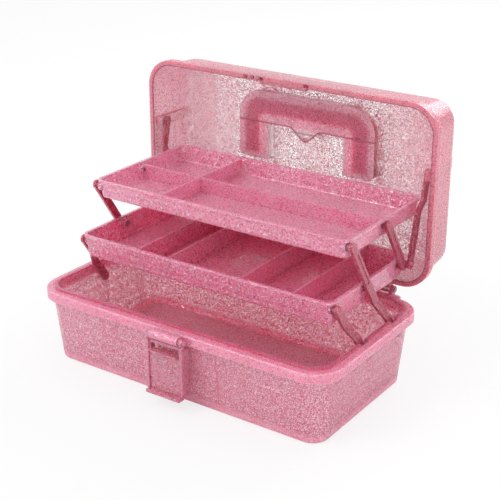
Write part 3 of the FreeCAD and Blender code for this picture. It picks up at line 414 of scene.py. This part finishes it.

# Lower and upper trays: thinner mouldings of a deeper pink, each with its rim, its sockets for the
# arms and, in the upper one, two fixed walls. They hang on the strap arms, and four loose dividers
# of the same plastic stand in the lower one. The lower tray and its dividers are made deeper still
# as painted shade under the upper tray, and both trays carry a faint painted glow.
tray_painted_glow, tray_coat = ((1.0, 0.1, 0.2), 0.03), (0.6, 0.08)
lower_plastic = glitter_plastic("lower_tray_glitter", (0.86, 0.18, 0.34), (0.78, 0.10, 0.23),
                                (0.0, 0.024, 0.115), share=0.7, clear=0.9,
                                glow=tray_painted_glow, coat=tray_coat)
upper_plastic = glitter_plastic("upper_tray_glitter", (0.94, 0.29, 0.45), (0.89, 0.20, 0.34),
                                (0.0, 0.05, 0.166), share=0.7, clear=0.75, inner=2.2,
                                glow=tray_painted_glow, coat=tray_coat)
dress(lower_plastic, "lower_tray", *[f"lower_tray_divider_{i}" for i in (1, 2, 3, 4)])
dress(upper_plastic, "upper_tray")

# Strap arms and links: flat straps with a groove down the face and pins moulded on, in a deep rose
# plastic. Their pins snap into the tub, the trays and the lid's brackets, in a set at either end.
# A solid piece has no heart, so one far below gives the painted glint of higher-contrast flakes
# only to its undersides.
far_below = (0, 0, -9.0)
arm_plastic = glitter_plastic("arm_glitter_rose", (0.40, 0.045, 0.10), (0.30, 0.015, 0.05),
                              far_below, sparkle=0.4)
dress(arm_plastic, *[f"{arm}_{side}" for arm in ("long_arm", "front_arm", "rear_arm", "lid_link")
                     for side in ("left", "right")])

# Lid: the palest moulding, thin enough for the light behind it to come through. The plate is
# clearest in its middle, in streaks that run up it, and its rim band is thicker. It swings on
# two wire pins.
lid_plastic = glitter_plastic("lid_glitter_pale", (0.99, 0.67, 0.70), (0.95, 0.51, 0.55),
                              (0.0, 0.1, 0.175), share=0.5, inner=2.5, outer=0.6)
tree = lid_plastic.node_tree
place = add(tree, "TexCoord").outputs["Object"]
along = add(tree, "SeparateXYZ", {0: place}).outputs
aside = add(tree, "Math", {0: along["X"]}, operation="ABSOLUTE").outputs[0]
stretch = add(tree, "Mapping", {"Vector": place}, {"Scale": (38.0, 4.0, 5.0)})
streaks = add(tree, "TexNoise", {"Vector": stretch.outputs[0]}, {"Scale": 1.0, "Detail": 2.0})
thick = combine(tree, "ADD", soft_step(tree, aside, 0.08, 0.15, 0.4),
                soft_step(tree, streaks.outputs["Fac"], 0.3, 0.7, 0.25))
rim_band = soft_step(tree, along["Y"], 0.146, 0.138, 0.7)
outer_face_shade = soft_step(tree, tree.nodes["outward"].outputs["Outward"], -0.002, 0.002)
# painted shade: the lid's outer faces are deeper in colour, and the outer faces of its rim band
# deeper still
tint(lid_plastic, outer_face_shade, (0.86, 0.58, 0.65))
tint(lid_plastic, combine(tree, "MINIMUM", rim_band, outer_face_shade), (0.70, 0.40, 0.47))


def corner_length(tree, spot, corner):
    """Length of the way past a corner in X and Z, each counted only where it is positive."""
    past = add(tree, "VectorMath", {0: spot}, {1: corner}, operation="SUBTRACT")
    only = add(tree, "VectorMath", {0: past.outputs[0]}, {1: (0, 0, 0)}, operation="MAXIMUM")
    return add(tree, "VectorMath", {0: only.outputs[0]}, operation="LENGTH").outputs["Value"]


def handle_shape(tree, spot, height, outer, inner, feet):
    """A mask in the shape of the handle, a bar and two legs with round corners: near enough to
    the outer corner, far enough from the inner one, and above the legs' feet. Each corner comes
    with the lengths past it, and the feet with the heights, where the mask is nothing and one."""
    bar = combine(tree, "MINIMUM", soft_step(tree, corner_length(tree, spot, outer[0]), *outer[1]),
                  soft_step(tree, corner_length(tree, spot, inner[0]), *inner[1]))
    return combine(tree, "MINIMUM", bar, soft_step(tree, height, *feet))


# painted shade from the handle: a little deeper over its pocket, and darker still where the handle
# lies behind the plate, which is also made less clear there
spot = add(tree, "CombineXYZ", {"X": aside, "Z": along["Z"]}).outputs[0]
painted_pocket_shade = handle_shape(tree, spot, along["Z"], ((0.053, 0, 0.212), (0.031, 0.028)),
                      ((0.040, 0, 0.201), (0.004, 0.007)), (0.161, 0.164))
shadow = handle_shape(tree, spot, along["Z"], ((0.053, 0, 0.212), (0.023, 0.016)),
                      ((0.047, 0, 0.208), (0.004, 0.011)), (0.169, 0.176))
shaded = add(tree, "Math", {0: shadow}, {1: 0.9}, operation="MULTIPLY").outputs[0]
tint(lid_plastic, painted_pocket_shade, (0.94, 0.70, 0.78))
tint(lid_plastic, shaded, (0.72, 0.28, 0.40))
solid = combine(tree, "ADD", combine(tree, "ADD", thick, rim_band), shaded)
tree.links.new(solid, tree.nodes["clearness"].inputs[1])
dress(lid_plastic, "lid_shell")


# Finger scoop: the lip of the recess between the handle's legs, a moulded line that crosses both
# legs and dips in the middle, with a tongue under the dip. It is moulded in one with the lid, and
# the lip is given a dark plastic as a painted shade line along it.
def scoop_dip(x):
    """Height lost at a place along the lip: a squared cosine, 38 mm wide and 12.5 mm deep."""
    width, depth = 0.038, 0.0125
    return np.where(np.abs(x) < width / 2, depth * np.cos(np.pi * x / width) ** 2, 0.0)


lip_half, lip_steps, lip_sides, lip_radius = 0.0793, 318, 12, 0.0007
lip_y, lip_z = 0.1351, 0.2066
x = np.linspace(-lip_half, lip_half, lip_steps)
angle = np.linspace(0, 2 * np.pi, lip_sides, endpoint=False)
lip_rings = np.stack([np.broadcast_to(x[:, None], (lip_steps, lip_sides)),
                      lip_y - lip_radius * np.sin(angle)[None] + 0 * x[:, None],
                      lip_z - scoop_dip(x)[:, None] + lip_radius * np.cos(angle)[None]], -1)
scoop_lip = closed_sweep("finger_scoop_lip", lip_rings)

tongue_half, tongue_steps = 0.0110, 40
near, far = 0.1352, 0.1468
x = np.linspace(-tongue_half, tongue_half, tongue_steps)
low, high = lip_z - scoop_dip(x), np.full(tongue_steps, 0.2022)
tongue_rings = np.stack([np.stack([x, np.full(tongue_steps, y), z], -1)
                         for y, z in ((near, low), (far, low), (far, high), (near, high))], 1)
scoop_tongue = closed_sweep("finger_scoop_tongue", tongue_rings)
# dark plastic for the scoop lip and the mouth bead: painted shade lines
dark_line_painted_shade = glitter_plastic("lip_glitter_painted_shade", (0.50, 0.07, 0.14), (0.38, 0.04, 0.08),
                              far_below, sparkle=0.3)

# Mouth bead: the edge of the lid's mouth stands up as a fine bead, a rounded rectangle that is a
# little narrower along the thick middle of its front. It is moulded in one with the lid, and given
# the same dark plastic as a painted shade line along the mouth's inner edge.
turns = np.linspace(0, np.pi / 2, 14)
half, low, high, radius = 0.1603, 0.0907, 0.2613, 0.0243
bead_y, bead_radius = 0.0941, 0.0006
step_half, step_depth, step_run = 0.0272, 0.002, 0.001
corners = ((half - radius, high - radius, 0.0), (radius - half, high - radius, np.pi / 2),
           (radius - half, low + radius, np.pi), (half - radius, low + radius, 1.5 * np.pi))
arcs = [np.stack([cx + radius * np.cos(turns + start), cz + radius * np.sin(turns + start)], -1)
        for cx, cz, start in corners]
front_x = np.linspace(half - radius, radius - half, 300)[1:-1]
front_step = step_depth * np.clip((step_half - np.abs(front_x)) / step_run, 0, 1)
mouth = np.concatenate([arcs[0], np.stack([front_x, high - front_step], -1), *arcs[1:]])
way = np.roll(mouth, -1, 0) - np.roll(mouth, 1, 0)
way /= np.linalg.norm(way, axis=1)[:, None]
across = np.stack([way[:, 1], np.zeros(len(mouth)), -way[:, 0]], -1)
centre = np.stack([mouth[:, 0], np.full(len(mouth), bead_y), mouth[:, 1]], -1)
bead_rings = (centre[:, None] + bead_radius * np.cos(angle)[None, :, None] * across[:, None]
              + bead_radius * np.sin(angle)[None, :, None] * np.array([0.0, 1.0, 0.0]))
mouth_bead = closed_sweep("lid_mouth_bead", bead_rings, joined=True)
for piece, finish in ((scoop_lip, dark_line_painted_shade), (scoop_tongue, lid_plastic),
                      (mouth_bead, dark_line_painted_shade)):
    piece.data.materials.append(finish)
    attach(piece, "lid")

# Carry handle: a solid bar of the same plastic, so thick that it looks much darker. Its legs end
# in moulded pins that snap into sockets in the recess, and it folds down flat there.
handle_plastic = glitter_plastic("handle_glitter_deep", (0.46, 0.04, 0.09), (0.36, 0.02, 0.05),
                                 far_below, sparkle=0.4)
dress(handle_plastic, "carry_handle")

# Latch: a hinged plate with a window, moulded in the tub's plastic with a wider soft edge and a
# wider band of painted shade along its edges. It hangs on its pin in the tub's lug, and its foot
# hooks over the lid's rim band.
latch_plastic = glitter_plastic("latch_glitter_pink", (0.60, 0.175, 0.265), (0.49, 0.10, 0.175),
                                far_below, edge=0.0009, outline=0.9)
dress(latch_plastic, "front_latch")

# Hinge pins: two lengths of drawn steel wire with upset heads, pressed through the tub's ears and
# the lid's knuckles from the sides. The wire is dull from drawing, in fine grains.
wire, tree, surface = new_material("drawn_wire", Base_Color=(0.34, 0.29, 0.30, 1), Metallic=1.0)
drawn = add(tree, "TexNoise", {"Vector": add(tree, "TexCoord").outputs["Object"]},
            {"Scale": 900.0})
rough = add(tree, "MapRange", {"Value": drawn.outputs["Fac"]}, {"To Min": 0.4, "To Max": 0.6})
tree.links.new(rough.outputs["Result"], surface.inputs["Roughness"])
dress(wire, "hinge_pin_left", "hinge_pin_right")

size = {"cad": [list(corner) for corner in cad_box],
        "looks": [list(corner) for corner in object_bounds()]}
